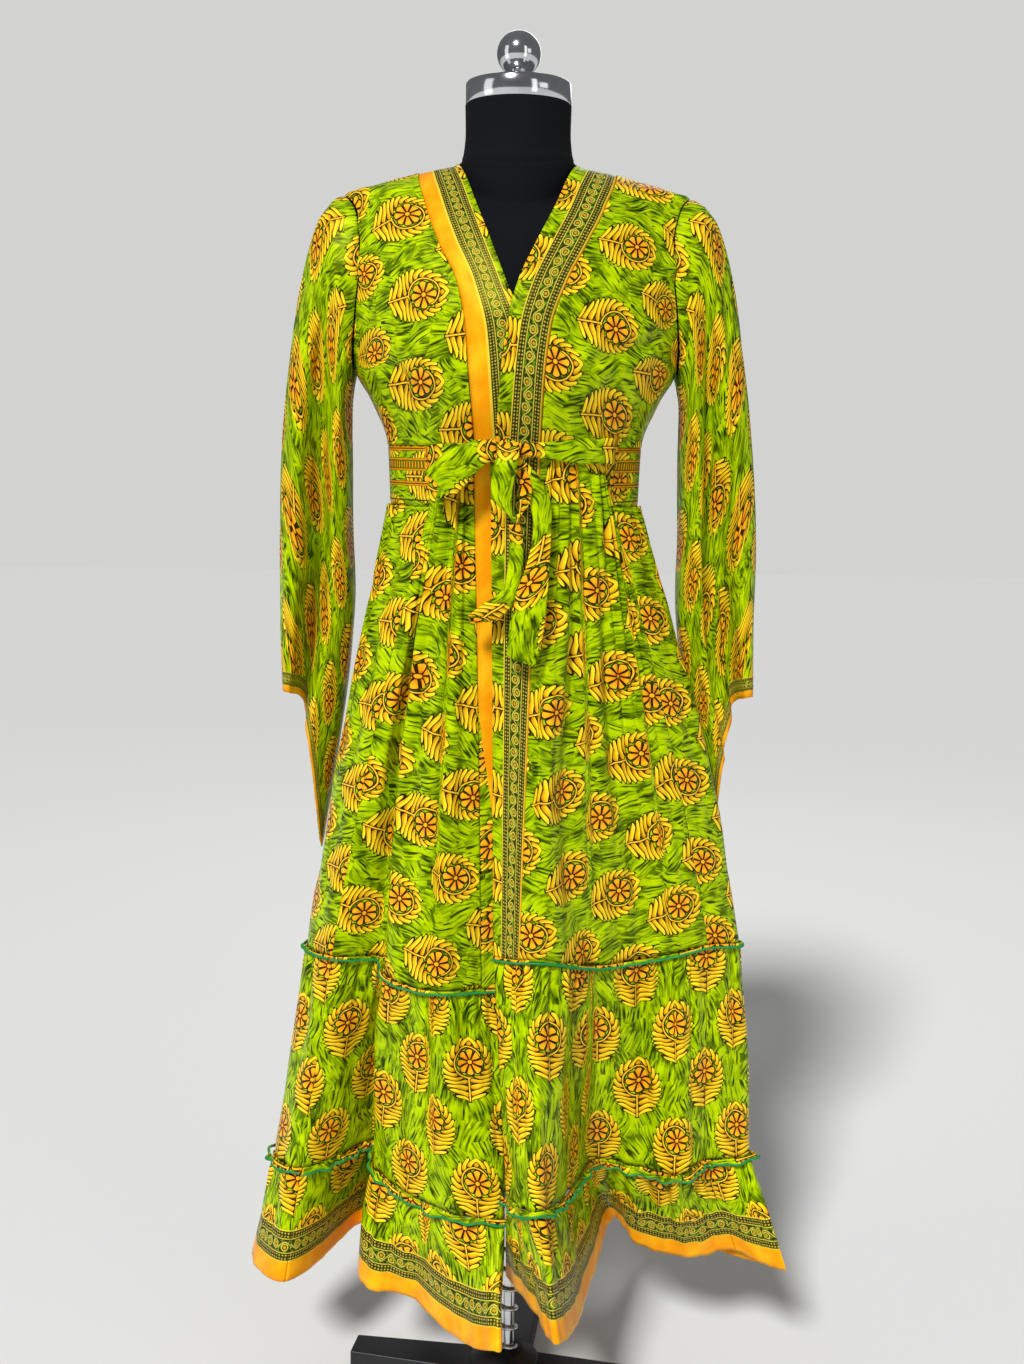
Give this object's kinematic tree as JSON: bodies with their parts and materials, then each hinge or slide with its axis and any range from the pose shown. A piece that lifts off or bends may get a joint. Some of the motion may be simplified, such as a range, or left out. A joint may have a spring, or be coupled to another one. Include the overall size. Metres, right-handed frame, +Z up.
{
  "type": "wrap-front kimono robe on a dress form and pole stand",
  "caption": "Long wrap-front printed kimono robe with bell sleeves, gathered skirt tiers and a tied belt, worn by a limbless dress form on a pole stand with a cross base.",
  "frame": {"origin": "middle of the base's underside, on the floor under the pole", "axes": "+Z up along the pole, -Y the way the form faces, +X the wearer's left"},
  "size_m": [0.6478, 0.4844, 1.6103],
  "materials": {
    "print_cloth": "satin crepe, printed all over",
    "border_cloth": "satin crepe with a printed border",
    "stripe_cloth": "satin crepe with printed stripes",
    "form_jersey": "matt knitted jersey over a hard form",
    "chrome": "polished plate",
    "black_iron": "satin black paint"
  },
  "bodies": {
    "root": {"bodice_front_right": "print_cloth", "bodice_front_left": "print_cloth", "bodice_back": "print_cloth", "skirt_front_right": "print_cloth", "skirt_back": "print_cloth", "skirt_front_left": "print_cloth", "middle_tier_front_right": "print_cloth", "middle_tier_back": "print_cloth", "middle_tier_front_left": "print_cloth", "bottom_tier_front_right": "print_cloth", "bottom_tier_back": "print_cloth", "bottom_tier_front_left": "print_cloth", "sleeve_right": "print_cloth", "sleeve_left": "print_cloth", "belt_side_right": "print_cloth", "belt_side_left": "print_cloth", "belt_knot": "print_cloth", "belt_loop_side": "print_cloth", "belt_loop_hanging": "print_cloth", "belt_tail_long": "print_cloth", "belt_tail_short": "print_cloth", "neckband_back": "border_cloth", "front_band_right": "border_cloth", "front_band_left": "border_cloth", "waistband_back": "stripe_cloth", "form_torso": "form_jersey", "neck_cap": "chrome", "stand_pole": "chrome", "stand_spring": "chrome", "stand_base": "black_iron"}
  },
  "joints": []
}
